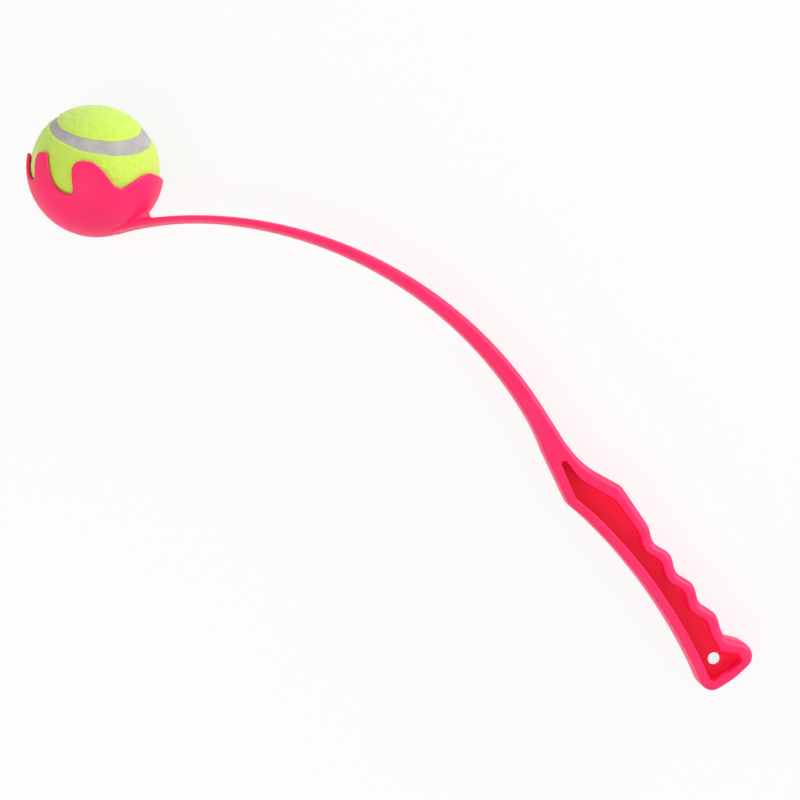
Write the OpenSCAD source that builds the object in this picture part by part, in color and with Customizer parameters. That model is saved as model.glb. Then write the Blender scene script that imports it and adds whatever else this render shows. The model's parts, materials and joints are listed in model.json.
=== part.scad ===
// Dog ball launcher stick with its ball, lying on its side as it does when it is put down.
// The stick frame has its origin at the lanyard hole: x runs along the handle towards the cup,
// y points to the palm side and z along the hole. lay() then sets the stick down on the ground.

/* [Ball] */
// Diameter of the ball over its felt
ball_d = 65; // [62:0.5:68]
// Thickness of the felt cover
felt_t = 3; // [2:0.1:4]
// Wall of the rubber core under the felt
core_wall = 3.5; // [2.5:0.1:5]
// Width of the rubber seam between the felt panels
seam_w = 6.2; // [4:0.1:8]
// Depth of the seam below the felt
seam_sink = 0.6; // [0.3:0.1:1.5]

/* [Cup] */
// Play between the ball and the cup
ball_play = 0.3; // [0.2:0.05:0.8]
// Wall of the cup
cup_wall = 1.9; // [1.4:0.1:3]
// Height of the far, side and neck fingers above the ball's centre
tip_rise = 1.3; // [0.5:0.1:3]
// Drop of the broad fingers' tips below the ball's centre
broad_drop = 0.6; // [0:0.1:3]
// Depth of the narrow slits below the ball's centre
slit_depth = 12.7; // [9:0.1:15]
// Depth of the deep notches below the ball's centre
notch_depth = 17.6; // [14:0.1:20]
// Depth of the shallow notches below the ball's centre
dip_depth = 10.3; // [6:0.1:13]
// Gap at each flex line
flex_gap = 0.2; // [0.15:0.05:0.4]

/* [Shaft] */
// Distance along the handle from the lanyard hole to the ball's centre
cup_reach = 392.7; // [360:0.1:440]
// Sideways distance from the lanyard hole to the ball's centre
cup_offset = 92; // [70:0.5:110]
// Angle of the cup's mouth to the handle
mouth_turn = -48.3; // [-60:0.1:-35]
// Thickness of the shaft where it leaves the handle
root_t = 11.9; // [10.5:0.1:15]
// Thickness of the shaft past the root's flare
mid_t = 10; // [7.5:0.1:10.4]
// Thickness of the shaft at its thinnest section
waist_t = 3.7; // [2.5:0.1:5]
// Thickness of the shaft where it runs into the cup
neck_t = 3.3; // [2.5:0.1:5]
// Depth of the shaft at the cup
neck_depth = 17.5; // [16:0.5:22]
// Length across the shaft over which its sides round off to its front and back
crown_r = 7; // [3.5:0.1:7.5]

/* [Handle] */
// Depth of the handle and of the shaft's root
handle_depth = 24; // [20:0.5:30]
// Length from the lanyard hole to the guard's corner on the finger side
guard_x = 99.5; // [96:0.5:104]
// Length from the lanyard hole to the shaft's root
root_x = 136; // [130:0.5:150]
// Distance from the lanyard hole to the butt's end
butt_x = 12.4; // [11:0.1:16]
// Reach of the guard and the butt hook from the hole's axis to the finger side
edge_y = 17.2; // [16.5:0.1:20]
// Reach of the palm side from the hole's axis at the narrow of the grip
palm_y = 4.9; // [4:0.1:7]
// Radius of the hollow palm side
palm_r = 258; // [220:1:320]
// Pitch of the finger grooves
groove_pitch = 19.1; // [18.5:0.1:19.6]
// Depth of the finger grooves
groove_depth = 3; // [1:0.1:4]
// Width of the rim round the recess
rim_w = 5.8; // [4.5:0.1:6.5]
// Rounding of the rim's and the shaft's edges
edge_r = 3; // [1.5:0.1:3.4]
// Thickness of the web in the recess
web_t = 3; // [2:0.1:6]
// Diameter of the lanyard hole
hole_d = 6.4; // [4:0.1:8]

/* [Hidden] */
$fn = 96;

pink = [0.99, 0.2, 0.41];
felt_green = [0.82, 0.93, 0.42];
seam_grey = [0.72, 0.7, 0.7];
core_grey = [0.24, 0.24, 0.25];

// Radii of the ball and the cup
ball_r = ball_d / 2;
core_r = ball_r - felt_t;
core_inner_r = core_r - core_wall;
seam_r = ball_r - seam_sink;
cup_inner_r = ball_r + ball_play;
cup_r = cup_inner_r + cup_wall;
cup_at = [cup_reach, cup_offset, 0];
far_away = 4 * cup_r;

// Plane geometry
function heading(a) = [cos(a), sin(a)];
function unit(v) = v / norm(v);
function left_of(v) = [-v.y, v.x];

// Shaft: a cubic curve from the handle's end to the cup's underside, which it meets tangentially
root_y = -2.75;
root_turn = -12.5;
neck_turn = 158;
root_pull = 108.3;
neck_pull = 72.2;
waist_at = 0.78;
flare_end = 0.067;
crown_from = 0.5;
crown_end = 0.97;
crown_fall = 0.13;
neck_sink = 0.3;
shaft_start = [root_x, root_y];
shaft_end = [cup_reach, cup_offset] + (cup_r - neck_t / 2 - neck_sink) * heading(neck_turn);
shaft_pull_a = shaft_start + root_pull * heading(root_turn);
shaft_pull_b = shaft_end - neck_pull * heading(neck_turn - 90);
flex_at = 0.76;
root_rings = 38;
neck_rings = 16;
corner_steps = 3;

function shaft_point(u) = pow(1 - u, 3) * shaft_start + 3 * u * pow(1 - u, 2) * shaft_pull_a
    + 3 * u * u * (1 - u) * shaft_pull_b + pow(u, 3) * shaft_end;
function shaft_slope(u) = unit(pow(1 - u, 2) * (shaft_pull_a - shaft_start)
    + 2 * u * (1 - u) * (shaft_pull_b - shaft_pull_a) + u * u * (shaft_end - shaft_pull_b));
function flare(u) = (root_t - mid_t) * pow(max(1 - u / flare_end, 0), 2);
function shaft_t(u) = u < waist_at
    ? mid_t + (waist_t - mid_t) * u / waist_at + flare(u)
    : waist_t + (neck_t - waist_t) * (u - waist_at) / (1 - waist_at);
function shaft_depth(u) = neck_depth + (handle_depth - neck_depth) * pow(1 - u, 2);
function shaft_edge(u) = min(edge_r, 0.46 * shaft_t(u));
function shaft_crown(u) = max(shaft_edge(u),
    edge_r + (crown_r - edge_r) * min(u / crown_from, 1, (crown_end - u) / crown_fall));

// A rectangle with rounded corners, width across x and height across y, counted anticlockwise
function section(w, h, rx, ry) = [for (q = [0:3]) for (i = [0:corner_steps])
    let (sx = q == 0 || q == 3 ? 1 : -1, sy = q < 2 ? 1 : -1, a = 90 * (q + i / corner_steps))
    [sx * (w / 2 - rx) + rx * cos(a), sy * (h / 2 - ry) + ry * sin(a)]];

function shaft_ring(u) = let (p = shaft_point(u), side = left_of(shaft_slope(u)))
    [for (s = section(shaft_t(u), shaft_depth(u), shaft_edge(u), shaft_crown(u)))
        [p.x + s.x * side.x, p.y + s.x * side.y, s.y]];

// The shaft between two places along its curve, skinned over rings of its section
module shaft_stretch(from, to, count) {
    rings = [for (k = [0:count]) shaft_ring(from + (to - from) * k / count)];
    n = len(rings[0]);
    sides = [for (k = [0:count - 1]) for (i = [0:n - 1]) let (j = (i + 1) % n)
        each [[k * n + i, k * n + j, (k + 1) * n + i], [k * n + j, (k + 1) * n + j, (k + 1) * n + i]]];
    ends = [[for (i = [n - 1:-1:0]) i], [for (i = [0:n - 1]) count * n + i]];
    polyhedron([for (ring = rings) each ring], concat(sides, ends), convexity = 4);
}

// Half space beyond a plane square to the shaft
module beyond(u) {
    p = shaft_point(u);
    d = shaft_slope(u);
    translate([p.x, p.y, 0]) rotate([0, 0, atan2(d.y, d.x)])
        translate([0, -far_away, -far_away]) cube(2 * far_away);
}

module flex_barrel(extra) {
    p = shaft_point(flex_at);
    translate([p.x, p.y, 0])
        cylinder(r = shaft_t(flex_at) / 2 + extra, h = 2 * handle_depth, center = true);
}

// Handle outline: corners with their roundings, and the sampled palm and groove stretches
grip_bumps = 3;
grip_first = 19;
grip_flare = 1.2;
bump_y = 14.2;
groove_steps = 8;
palm_x = 62;
palm_steps = 7;
guard_r = edge_r + 0.6;
butt_r = 6.2;
butt_lean = 1.6;
hook_r = edge_r + 1.6;
sweep_r = 40;
recess_r = 1.6;
recess_end = 8.5;
recess_turn = -7;
palm_rim = rim_w - 0.7;
corner_turns = 4;
grip_last = grip_first + grip_bumps * groove_pitch;
groove_from = grip_first - 0.36 * groove_pitch;
groove_count = grip_bumps * groove_steps + 3;

function palm(x) = palm_y + pow(x - palm_x, 2) / (2 * palm_r);
function bump(x) = bump_y + grip_flare * (x - grip_first) / (grip_last - grip_first);
function grip(x) = bump(x) - groove_depth * (1 - cos(360 * (x - grip_first) / groove_pitch)) / 2;
function root_side(side) = shaft_start + side * root_t / 2 * left_of(heading(root_turn));
function bend(p, r) = [p.x, p.y, r];

guard_palm = [guard_x + 9.5, palm_y + 4.75];
guard_sweep = [guard_x + 20.5, -8.6];
butt_palm = [butt_lean - butt_x, palm(-butt_x / 2) + 1.6];
butt_mid = [-butt_x, -2];
hook_back = [butt_lean - butt_x, -edge_y];
hook_front = [-2, -edge_y];
groove_start = [groove_from - 5.4, 0.7 - grip(grip_first - groove_pitch / 2)];
guard_finger = [guard_x, -edge_y];
palm_xs = [for (i = [0:palm_steps]) guard_x - 2 - (guard_x - 6) * i / palm_steps];
groove_xs = [for (i = [0:groove_count]) groove_from + (grip_last - groove_from) * i / groove_count];

outer_corners = concat(
    [bend(root_side(1), 0), bend(root_side(1) * 0.8 + guard_palm * 0.2, 0), bend(guard_palm, guard_r)],
    [for (x = palm_xs) [x, palm(x), 0]],
    [bend(butt_palm, butt_r), bend(butt_mid, sweep_r), bend(hook_back, butt_r), bend(hook_front, hook_r),
        bend(groove_start, hook_r)],
    [for (x = groove_xs) [x, -grip(x), 0]],
    [bend(guard_finger, hook_r), bend(guard_sweep, sweep_r),
        bend(root_side(-1) * 0.6 + guard_sweep * 0.4, 0), bend(root_side(-1), 0)]);

// The recess has the same corners, each moved in by its shares of the rim's width, and a round end
recess_tip = shaft_start - (recess_end + recess_r) * heading(recess_turn);
function tip_point(a) = recess_tip + recess_r * heading(recess_turn + a);
recess_corners = concat(
    [bend(tip_point(22), 0), bend(tip_point(75), 0), bend(guard_palm + palm_rim * [0, -0.96], recess_r)],
    [for (x = palm_xs) [x, palm(x) - palm_rim, 0]],
    [bend(butt_palm + palm_rim * [1.1, -1.27], recess_r), bend(butt_mid + rim_w * [1, 0], sweep_r),
        bend(hook_back + rim_w * [0.72, 1.14], recess_r / 2), bend(hook_front + rim_w * [-0.41, 1.31], recess_r / 3),
        bend(groove_start + rim_w * [-1.07, 1.07], recess_r)],
    [for (x = groove_xs) [x, rim_w - grip(x), 0]],
    [bend(guard_finger + rim_w * [-0.7, 1.14], recess_r), bend(guard_sweep + rim_w * [-0.86, 1], sweep_r / 2),
        bend(tip_point(-75), 0), bend(tip_point(-22), 0)]);

// Points of a corner between its neighbours, on an arc that touches both sides
function corner(a, p, b) = p.z == 0 ? [[p.x, p.y]] :
    let (q = [p.x, p.y], da = unit([a.x, a.y] - q), db = unit([b.x, b.y] - q),
        centre = q + p.z / sin(acos(da * db) / 2) * unit(da + db), arm = centre - q,
        to_a = da * (arm * da) - arm, to_b = db * (arm * db) - arm,
        first = atan2(to_a.y, to_a.x), swing = atan2(to_b.y, to_b.x) - first,
        turn = swing > 180 ? swing - 360 : swing < -180 ? swing + 360 : swing)
    [for (i = [0:corner_turns]) centre + p.z * heading(first + turn * i / corner_turns)];
function rounded(corners) = let (n = len(corners))
    [for (i = [0:n - 1]) each corner(corners[(i + n - 1) % n], corners[i], corners[(i + 1) % n])];

handle_outline = rounded(outer_corners);
recess_outline = rounded(recess_corners);
outline_count = len(handle_outline);
// Direction into the handle, which at the two root corners stays in the root's plane
function inwards(i) = i == 0 ? -left_of(heading(root_turn)) : i == outline_count - 1 ? left_of(heading(root_turn))
    : left_of(unit(handle_outline[i + 1] - handle_outline[i - 1]));

// The rim's section at one point of the outline: up the rounded outside and down the recess
edge_steps = corner_steps;
function rim_section(i) = concat(
    [for (side = [-1, 1]) for (k = [0:edge_steps])
        let (a = 90 * (side < 0 ? edge_steps - k : k) / edge_steps,
            p = handle_outline[i] + edge_r * (1 - cos(a)) * inwards(i))
        [p.x, p.y, side * (handle_depth / 2 - edge_r + edge_r * sin(a))]],
    [for (side = [1, -1]) [recess_outline[i].x, recess_outline[i].y, side * handle_depth / 2]]);

module handle_rim() {
    sections = [for (i = [0:outline_count - 1]) rim_section(i)];
    m = len(sections[0]);
    faces = [for (i = [0:outline_count - 1]) for (j = [0:m - 1])
        let (a = i * m, b = (i + 1) % outline_count * m, k = (j + 1) % m)
        each [[a + j, a + k, b + j], [b + j, a + k, b + k]]];
    color(pink) lay() polyhedron([for (s = sections) each s], faces, convexity = 8);
}

module handle_web() {
    color(pink) lay() difference() {
        linear_extrude(web_t, center = true) polygon(recess_outline);
        cylinder(d = hole_d, h = 2 * web_t, center = true);
    }
}

module shaft_root() {
    color(pink) lay() difference() {
        shaft_stretch(0, flex_at + 0.02, root_rings);
        beyond(flex_at);
        flex_barrel(flex_gap);
    }
}

module shaft_neck() {
    color(pink) lay() difference() {
        intersection() {
            shaft_stretch(flex_at - 0.04, 1, neck_rings);
            union() {
                beyond(flex_at);
                flex_barrel(0);
            }
        }
        translate(cup_at) sphere(cup_r);
    }
}

// Cup frame: origin at the ball's centre, z out of the mouth, x towards the neck, y down to the ground
module cup_frame() {
    translate(cup_at) rotate([0, 0, mouth_turn]) rotate([0, 90, 0]) rotate([0, 0, -90]) children();
}

// Notches: place round the mouth from the neck, depth, floor width, and for the flank on the neck's side
// and on the far side the place and height it ends at and how far its foot and its top run level
slit_at = 143.7;
notch_at = 100.2;
dip_at = 52.5;
slit = [slit_at, slit_depth, 0.4, [131.5, tip_rise, 0.59, 1], [158.8, tip_rise, 0.77, 0.87]];
notch = [notch_at, notch_depth, 0.8, [88.2, -broad_drop, 0.3, 1], [126.9, tip_rise, 0.95, 0.29]];
dip = [dip_at, dip_depth, 2.4, [23.7, tip_rise, 0, 0.42], [84.6, -broad_drop, 0.36, 0.44]];
flank_steps = 9;

// One flank from the notch's floor to its end, as places round the mouth and heights on the cup's outside
function flank(n, f) = let (half = n[2] / 2 / cup_r * 180 / PI, start = n[0] + sign(f[0] - n[0]) * half)
    [for (i = [0:flank_steps]) let (t = i / flank_steps,
        along = 3 * t * (1 - t) * (f[2] * (1 - t) + (1 - f[3]) * t) + t * t * t)
        [start + (f[0] - start) * along, -n[1] + (n[1] + f[1]) * t * t * (3 - 2 * t)]];
function backwards(list) = [for (i = [len(list) - 1:-1:0]) list[i]];
// The mouth's edge from the neck to the far end, and then back along the other side
half_edge = concat([[0, tip_rise], [12, tip_rise]],
    [for (n = [dip, notch, slit]) each concat(backwards(flank(n, n[3])), flank(n, n[4]))],
    [[170, tip_rise]]);
mouth_edge = concat(half_edge, [[180, tip_rise]],
    [for (i = [len(half_edge) - 1:-1:1]) [360 - half_edge[i][0], half_edge[i][1]]]);

function edge_ray(at, height) = [sqrt(cup_r * cup_r - height * height) * heading(at).x,
    sqrt(cup_r * cup_r - height * height) * heading(at).y, height];

// Everything above the mouth's edge, bounded by rays from the ball's centre
module above_mouth() {
    n = len(mouth_edge);
    low = [for (e = mouth_edge) 2 * edge_ray(e[0], e[1])];
    high = [for (p = low) [p.x, p.y, 3 * cup_r]];
    faces = concat([for (i = [0:n - 1]) [0, 1 + i, 1 + (i + 1) % n]],
        [for (i = [0:n - 1]) let (j = (i + 1) % n) each [[1 + i, 1 + n + i, 1 + j], [1 + j, 1 + n + i, 1 + n + j]]],
        [[for (i = [n - 1:-1:0]) 1 + n + i]]);
    polyhedron(concat([[0, 0, 0]], low, high), faces, convexity = 8);
}

// The cup with its fingers, as one wall
module cup_wall_form() {
    difference() {
        sphere(cup_r);
        sphere(cup_inner_r);
        above_mouth();
    }
}

// Flex line of a finger: a plane through the ball's centre and the floors of the notches beside it
floor_skip = 0.4;
function floor_point(at, depth) = let (z = floor_skip - depth, r = sqrt(cup_r * cup_r - z * z))
    [r * cos(at), r * sin(at), z];
far_ends = [floor_point(slit_at, slit_depth), floor_point(360 - slit_at, slit_depth)];
side_ends = [floor_point(notch_at, notch_depth), floor_point(slit_at, slit_depth)];
broad_ends = [floor_point(dip_at, dip_depth), floor_point(notch_at, notch_depth)];

// Everything above a finger's flex line, between the notches beside it
module above_flex(ends, gap) {
    up = unit(cross(ends[0], ends[1]));
    wide = far_away / cup_r;
    intersection() {
        rotate([0, acos(up.z), atan2(up.y, up.x)])
            translate([-far_away, -far_away, -gap]) cube(2 * far_away);
        translate([0, 0, -cup_r]) linear_extrude(2 * cup_r)
            polygon([[0, 0], wide * [ends[0].x, ends[0].y], wide * [ends[1].x, ends[1].y]]);
    }
}

module finger(ends) {
    color(pink) intersection() {
        cup_wall_form();
        above_flex(ends, 0);
    }
}

module cup_bowl() {
    color(pink) lay() cup_frame() difference() {
        cup_wall_form();
        above_flex(far_ends, flex_gap);
        for (ends = [side_ends, broad_ends]) {
            above_flex(ends, flex_gap);
            mirror([0, 1, 0]) above_flex(ends, flex_gap);
        }
    }
}

module finger_far() {
    lay() cup_frame() finger(far_ends);
}

module finger_side_upper() {
    lay() cup_frame() mirror([0, 1, 0]) finger(side_ends);
}

module finger_side_lower() {
    lay() cup_frame() finger(side_ends);
}

module finger_broad_upper() {
    lay() cup_frame() mirror([0, 1, 0]) finger(broad_ends);
}

module finger_broad_lower() {
    lay() cup_frame() finger(broad_ends);
}

// Ball: the seam runs in four arcs, each in a plane, that meet tangentially at the corners of a square
seam_tilt = 14.4;
ball_turn = [-164.7, -0.5, -141.8];
seam_open = acos(cos(seam_tilt) / sqrt(2));
seam_half = seam_w / 2 / ball_r * 180 / PI;

module ball_frame() {
    translate(cup_at) rotate(ball_turn) children();
}

// Cap of the ball's space within an angle of a tilted axis
module cap(turn, tilt, open) {
    rotate([0, 90 - tilt, turn]) translate([-far_away, -far_away, ball_r * cos(open)]) cube(2 * far_away);
}

// Space of one felt panel: a waist over the top between two caps, and two lobes below
module panel_space() {
    difference() {
        translate([-far_away, -far_away, 0]) cube(2 * far_away);
        for (turn = [0, 180]) cap(turn, seam_tilt, seam_open + seam_half);
    }
    intersection() {
        translate([-far_away, -far_away, -2 * far_away]) cube(2 * far_away);
        union() {
            for (turn = [90, 270]) cap(turn, -seam_tilt, seam_open - seam_half);
        }
    }
}

module shell(outer, inner) {
    difference() {
        sphere(outer);
        sphere(inner);
    }
}

module felt_panel() {
    color(felt_green) intersection() {
        shell(ball_r, core_r);
        panel_space();
    }
}

module felt_panel_a() {
    lay() ball_frame() felt_panel();
}

module felt_panel_b() {
    lay() ball_frame() rotate([180, 0, 90]) felt_panel();
}

module ball_seam() {
    color(seam_grey) lay() ball_frame() difference() {
        shell(seam_r, core_r);
        panel_space();
        rotate([180, 0, 90]) panel_space();
    }
}

// Half of the rubber core, on the front side of the ball's own middle plane
module core_half(back) {
    color(core_grey) difference() {
        shell(core_r, core_inner_r);
        translate([-far_away, -far_away, back ? 0 : -2 * far_away]) cube(2 * far_away);
    }
}

module ball_core_front() {
    lay() ball_frame() core_half(false);
}

module ball_core_back() {
    lay() ball_frame() core_half(true);
}

// Rest: the stick rolls about the handle until the cup's lower side and the handle's finger edge both touch.
// The cup touches with the flank of its lower broad finger, a little above its lowest sphere point.
touch_share = 0.983;
edge_in = edge_y - edge_r;
face_in = handle_depth / 2 - edge_r;
arm = norm([cup_offset + edge_in, face_in]);
roll = asin((touch_share * cup_r - edge_r) / arm) - atan2(face_in, cup_offset + edge_in);
ground = edge_in * sin(roll) + face_in * cos(roll) + edge_r;
middle_x = (cup_reach + ball_r - butt_x) / 2;
near_y = edge_in * cos(roll) + face_in * sin(roll) + edge_r;
middle_y = (cup_offset * cos(roll) + cup_r - near_y) / 2;

module lay() {
    translate([-middle_x, -middle_y, ground]) rotate([roll, 0, 0]) children();
}

handle_rim();
handle_web();
shaft_root();
shaft_neck();
cup_bowl();
finger_far();
finger_side_upper();
finger_side_lower();
finger_broad_upper();
finger_broad_lower();
ball_core_front();
ball_core_back();
felt_panel_a();
felt_panel_b();
ball_seam();
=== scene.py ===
import json

import bmesh
import bpy
import numpy as np
from mathutils import Matrix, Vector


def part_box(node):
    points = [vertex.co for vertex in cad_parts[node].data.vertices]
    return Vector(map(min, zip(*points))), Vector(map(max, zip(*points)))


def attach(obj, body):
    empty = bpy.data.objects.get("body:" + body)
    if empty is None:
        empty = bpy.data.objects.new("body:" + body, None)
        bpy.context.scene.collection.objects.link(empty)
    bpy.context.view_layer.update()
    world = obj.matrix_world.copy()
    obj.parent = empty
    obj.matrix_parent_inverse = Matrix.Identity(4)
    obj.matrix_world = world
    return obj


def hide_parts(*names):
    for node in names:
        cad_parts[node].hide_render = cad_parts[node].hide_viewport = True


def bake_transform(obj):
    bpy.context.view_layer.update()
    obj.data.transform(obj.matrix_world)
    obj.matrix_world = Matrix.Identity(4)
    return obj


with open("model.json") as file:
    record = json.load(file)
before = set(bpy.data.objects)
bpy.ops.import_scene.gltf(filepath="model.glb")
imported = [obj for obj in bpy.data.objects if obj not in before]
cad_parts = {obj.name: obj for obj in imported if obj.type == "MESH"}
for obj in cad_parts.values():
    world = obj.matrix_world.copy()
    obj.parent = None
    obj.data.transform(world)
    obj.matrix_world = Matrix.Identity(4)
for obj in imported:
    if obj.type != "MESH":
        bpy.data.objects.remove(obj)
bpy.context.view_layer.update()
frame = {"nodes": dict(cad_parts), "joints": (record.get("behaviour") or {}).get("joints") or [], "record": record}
joints = {joint["name"]: joint for joint in frame["joints"]}
mm = 0.001
print("frame loaded with", len(frame["nodes"]), "nodes")

# Stick frame in mm: origin in the lanyard hole, x along the handle, z along the hole
lanyardHole = next(mount for mount in frame["record"]["mounts"] if mount["name"] == "lanyard_hole")
holeAt = np.array(lanyardHole["pos_m"])
stickZ = np.array(lanyardHole["axis"])
stickX = np.array([1.0, 0.0, 0.0])
stickTurn = np.column_stack([stickX, np.cross(stickZ, stickX), stickZ])

# Cup frame in mm: origin in the ball's centre, z out of the mouth, x towards the neck
coreCorners = np.array([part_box(node) for node in ("ball_core_front", "ball_core_back")])
ballAt = (coreCorners[:, 0].min(0) + coreCorners[:, 1].max(0)) / 2
mouthAxis = np.array(joints["ball_release"]["axis"])
cupTurn = np.column_stack([np.cross(-stickZ, mouthAxis), -stickZ, mouthAxis])
ballInStick = (ballAt - holeAt) @ stickTurn / mm


def laid(points):  # stick frame in mm to the part's frame in metres
    return points * mm @ stickTurn.T + holeAt


def cupped(points):  # cup frame in mm to the part's frame in metres
    return points * mm @ cupTurn.T + ballAt


def unit(vectors):
    return vectors / np.linalg.norm(vectors, axis=-1, keepdims=True)


def heading(degrees):  # unit vectors at these angles, x and y last
    angle = np.radians(degrees)
    return np.stack([np.cos(angle), np.sin(angle)], -1)


# Shader sockets that can be added and multiplied
class Wire:
    def __init__(self, tree, socket):
        self.tree = tree
        self.socket = socket

    def node(self, kind, settings, values, output=0):
        made = self.tree.nodes.new(kind)
        for key, setting in settings.items():
            setattr(made, key, setting)
        for key, value in values.items():
            if isinstance(value, Wire):
                self.tree.links.new(value.socket, made.inputs[key])
            else:
                made.inputs[key].default_value = value
        return Wire(self.tree, made.outputs[output])

    def maths(self, operation, first, second):
        return self.node("ShaderNodeMath", {"operation": operation}, {0: first, 1: second})

    def __add__(self, other):
        return self.maths("ADD", self, other)

    def __radd__(self, other):
        return self.maths("ADD", other, self)

    def __sub__(self, other):
        return self.maths("SUBTRACT", self, other)

    def __mul__(self, other):
        return self.maths("MULTIPLY", self, other)

    def __rmul__(self, other):
        return self.maths("MULTIPLY", other, self)

    def noise(self, scale, detail, distortion=0.0):  # smooth random values from 0 to 1
        return self.node("ShaderNodeTexNoise", {}, {"Vector": self, "Scale": scale, "Detail": detail,
                                                    "Distortion": distortion}, "Fac")

    def between(self, low, high):  # 0 below low, 1 above high, smooth between
        return self.node("ShaderNodeMapRange", {"interpolation_type": "SMOOTHSTEP"},
                         {"Value": self, "From Min": low, "From Max": high})

    def colours(self, first, second):  # first where this is 0, second where it is 1
        return self.node("ShaderNodeMix", {"data_type": "RGBA"}, {0: self, 6: first, 7: second}, 2)

    def bump(self, strength, depth):  # a normal for relief of this height, its depth in metres
        return self.node("ShaderNodeBump", {}, {"Strength": strength, "Distance": depth, "Height": self})


def tint(red, green, blue):  # a colour as a paint program shows it, as linear light
    shown = np.array([red, green, blue]) / 255
    linear = np.where(shown < 0.04045, shown / 12.92, ((shown + 0.055) / 1.055) ** 2.4)
    return (*linear.tolist(), 1.0)


def grey(level):  # linear light, the same in each channel
    return (level, level, level, 1.0)


def newMaterial(name):  # returns the material, its coordinates and its shader node
    material = bpy.data.materials.new(name)
    material.use_nodes = True
    tree = material.node_tree
    coordinates = tree.nodes.new("ShaderNodeTexCoord")
    return material, Wire(tree, coordinates.outputs["Object"]), tree.nodes["Principled BSDF"]


def feed(shader, **values):  # links or sets the shader's sockets
    for key, value in values.items():
        socket = shader.inputs[key.replace("_", " ")]
        if isinstance(value, Wire):
            value.tree.links.new(value.socket, socket)
        else:
            socket.default_value = value


# Finishes, whose noises have a scale, a detail and perhaps a distortion, and whose bumps have a strength and a depth
# recess and recessShadeDeep are painted shade: the pink's redder tone in the recess's own shade and inter-reflection
plastic = {"pink": tint(255, 37, 105), "pinkDeep": tint(255, 29, 98), "recess": tint(255, 20, 83),
           "recessShadeDeep": tint(253, 12, 70), "roughness": 0.46, "roughSpread": 0.1, "shine": 0.32,
           "grain": (2600.0, 2.0), "ripple": (270.0, 1.0), "cloud": (30.0, 3.0), "cloudSpan": (0.3, 0.7),
           "grainShare": 0.75, "bump": (0.1, 0.00012)}


def plasticFinish(name, share):
    # satin moulded plastic: a slow cloud in its colour and a fine grain, with a share of painted shade, the redder
    # tone the pink takes in the recess's own shade and inter-reflection
    material, place, shader = newMaterial(name)
    cloud = place.noise(*plastic["cloud"]).between(*plastic["cloudSpan"])
    if share == "shadeMark":
        # the share of painted shade at each point, read from the mesh's inside attribute
        share = place.node("ShaderNodeAttribute", {"attribute_name": "inside"}, {}, "Fac")
    colours = [place.node("ShaderNodeMix", {"data_type": "RGBA"},
                          {0: share, 6: plastic[outside], 7: plastic[inside]}, 2)
               # each pair: the pink and its painted recess shade
               for outside, inside in (("pinkDeep", "recessShadeDeep"), ("pink", "recess"))]
    grain = place.noise(*plastic["grain"])
    ripple = place.noise(*plastic["ripple"])
    relief = plastic["grainShare"] * grain + (1 - plastic["grainShare"]) * ripple
    feed(shader, Base_Color=cloud.colours(*colours), Normal=relief.bump(*plastic["bump"]),
         Roughness=plastic["roughness"] + plastic["roughSpread"] * (grain - 0.5),
         Specular_IOR_Level=plastic["shine"])
    return material


felt = {"bright": tint(207, 238, 91), "middle": tint(200, 230, 81), "dark": tint(185, 217, 66),
        "clump": (300.0, 3.0, 0.6), "clumpSpan": (0.3, 0.7), "clumpShare": 0.55, "fibre": (1700.0, 4.0, 2.4),
        "fibreSpan": (0.32, 0.5), "bump": (0.3, 0.0005), "roughness": 0.92, "roughSpread": 0.08, "sheen": 0.35,
        "sheenRough": 0.6, "shine": 0.15}


def feltFinish(name):  # napped felt: clumps, crossing fibres and a soft sheen
    material, place, shader = newMaterial(name)
    clump = place.noise(*felt["clump"])
    fibre = place.noise(*felt["fibre"])
    body = clump.between(*felt["clumpSpan"]).colours(felt["middle"], felt["bright"])
    mixed = fibre.between(*felt["fibreSpan"]).colours(felt["dark"], body)
    relief = felt["clumpShare"] * clump + (1 - felt["clumpShare"]) * fibre
    feed(shader, Base_Color=mixed, Normal=relief.bump(*felt["bump"]),
         Roughness=felt["roughness"] + felt["roughSpread"] * fibre, Sheen_Weight=felt["sheen"],
         Sheen_Roughness=felt["sheenRough"], Specular_IOR_Level=felt["shine"])
    return material


rubber = {"seam": tint(190, 184, 184), "seamDeep": tint(164, 160, 158), "core": tint(66, 66, 68),
          "coreDeep": tint(52, 52, 54), "speck": (1400.0, 3.0), "cloud": (160.0, 3.0), "cloudShare": 0.6,
          "span": (0.3, 0.7), "bump": (0.25, 0.0002), "roughness": 0.72, "roughSpread": 0.16}


def rubberFinish(name, light, deep):  # matt rubber with fine specks
    material, place, shader = newMaterial(name)
    cloud = place.noise(*rubber["cloud"])
    speck = place.noise(*rubber["speck"])
    shade = rubber["cloudShare"] * cloud + (1 - rubber["cloudShare"]) * speck
    feed(shader, Base_Color=shade.between(*rubber["span"]).colours(deep, light), Normal=speck.bump(*rubber["bump"]),
         Roughness=rubber["roughness"] + rubber["roughSpread"] * (speck - 0.5))
    return material


pinkPlastic = plasticFinish("pinkPlastic", 0.0)
# painted recess shade by each point's share
rimPlastic = plasticFinish("rimPlastic", "shadeMark")
# painted shade throughout: the pink's redder tone in the recess's own shade
recessShadePlastic = plasticFinish("recessShadePlastic", 1.0)
ballFelt = feltFinish("ballFelt")
seamRubber = rubberFinish("seamRubber", rubber["seam"], rubber["seamDeep"])
coreRubber = rubberFinish("coreRubber", rubber["core"], rubber["coreDeep"])
print("finishes made")


# Meshes from grids of points
weldGap = 1e-7  # metres: only points that coincide are welded
softSteps = 2  # reach of the softening along closed paths
otherSide = np.array([1, -1, 1])  # mirrors the cup in the stick's plane


def newObject(name, data):
    made = bpy.data.objects.new(name, data)
    bpy.context.scene.collection.objects.link(made)
    return made


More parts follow.
